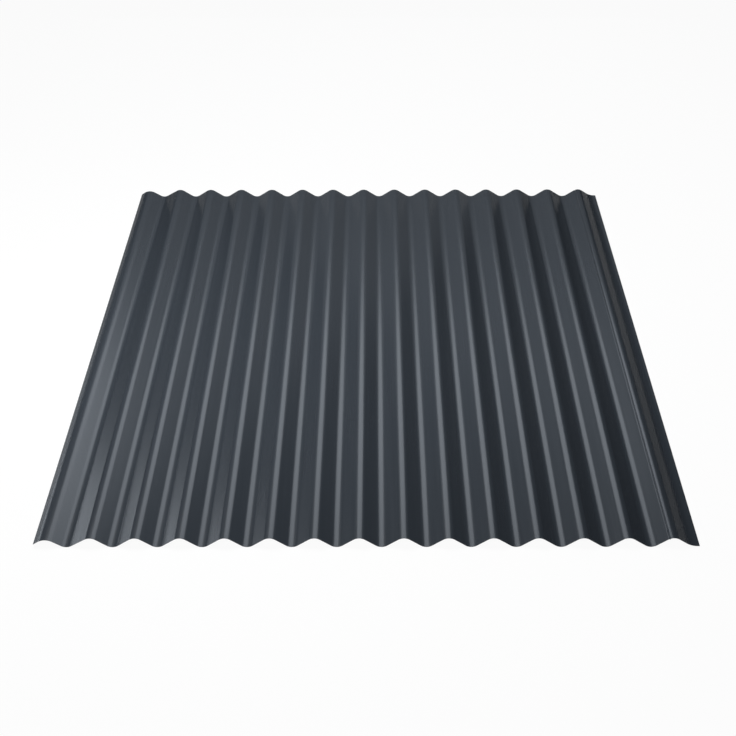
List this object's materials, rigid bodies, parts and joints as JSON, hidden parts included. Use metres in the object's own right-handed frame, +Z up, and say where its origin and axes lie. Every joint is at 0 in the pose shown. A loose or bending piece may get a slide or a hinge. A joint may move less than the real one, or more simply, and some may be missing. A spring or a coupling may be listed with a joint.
{
  "type": "corrugated roofing sheet",
  "caption": "Rolled steel roofing sheet with round waves, an overlap crest with a lip on one side and a flat underlap lip with a drain groove on the other.",
  "frame": {"origin": "under the middle of the sheet, on the plane that the undersides of the troughs rest on", "axes": "+Y along the waves, +X across them from the overlap crest to the underlap lip, +Z up, the weather side"},
  "size_m": [1.129, 1.5, 0.018],
  "materials": {
    "coated_steel": "satin dark blue-grey coil coating on galvanised steel"
  },
  "bodies": {
    "root": {"corrugated_sheet": "coated_steel"}
  },
  "joints": []
}
